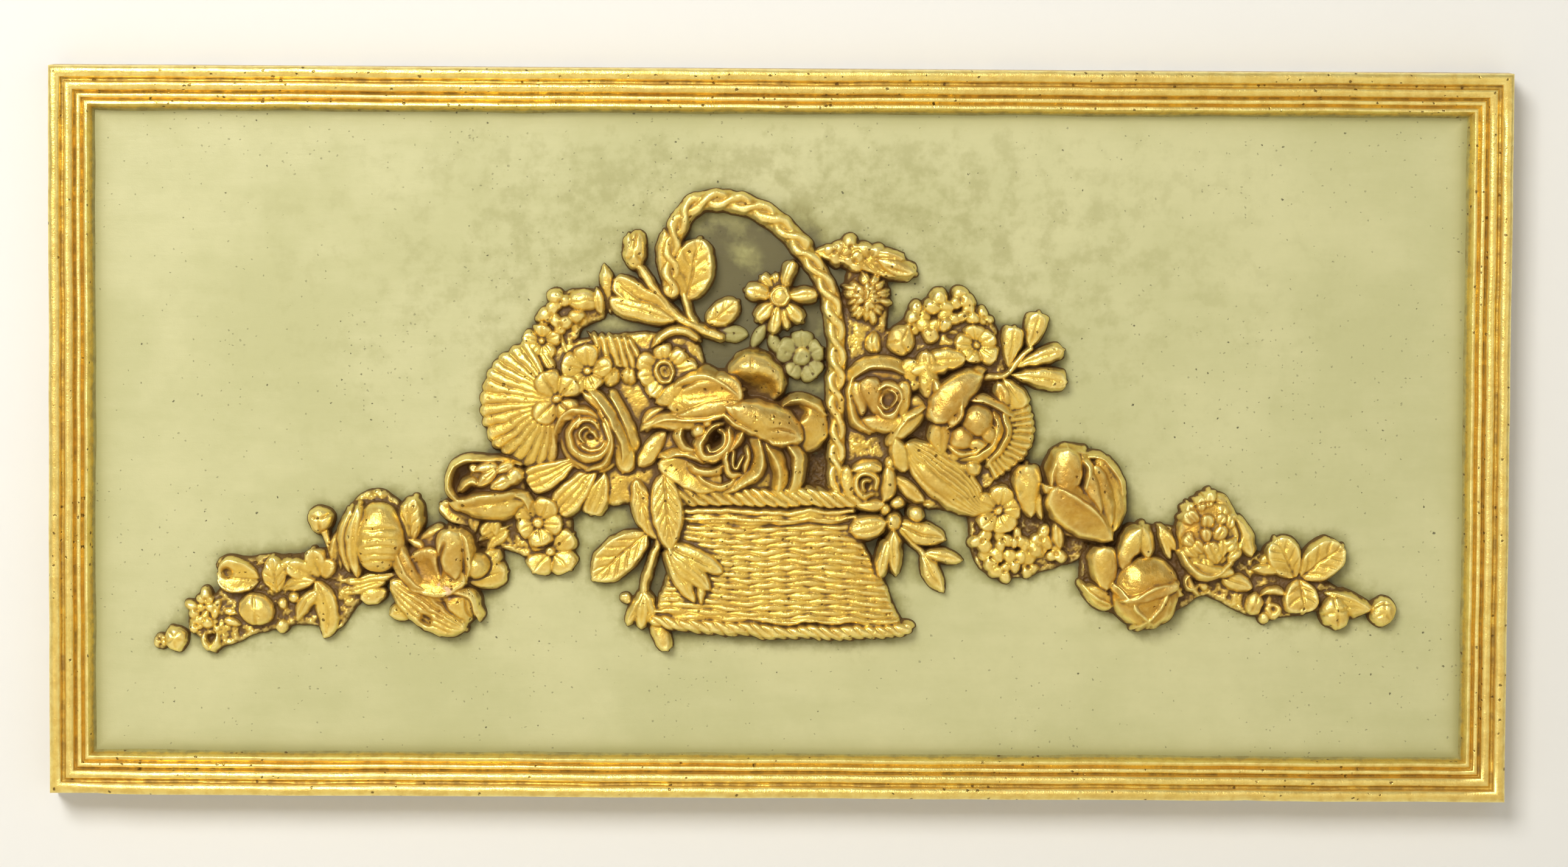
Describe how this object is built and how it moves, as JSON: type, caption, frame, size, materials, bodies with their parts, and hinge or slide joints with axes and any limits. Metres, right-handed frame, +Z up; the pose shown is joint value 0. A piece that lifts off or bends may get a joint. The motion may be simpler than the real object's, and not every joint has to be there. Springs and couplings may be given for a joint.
{
  "type": "wall plaque",
  "caption": "Oblong cast plaster wall plaque: gilded moulded frame round a sage green ground with a gilded relief of a flower basket, bouquets and garlands.",
  "frame": {"origin": "middle of the flat back, where the plaque lies on its wall", "axes": "+X to the right along the plaque, +Z up, -Y out of the front towards the viewer"},
  "size_m": [0.61, 0.0318, 0.307],
  "materials": {
    "gilding": "satin gilding over plaster, brown wash in the hollows",
    "green_ground": "matte sage green paint with a darker halo and fine specks",
    "bare_plaster": "matte bare plaster"
  },
  "bodies": {
    "root": {"cast_plaque": "gilding"}
  },
  "joints": []
}
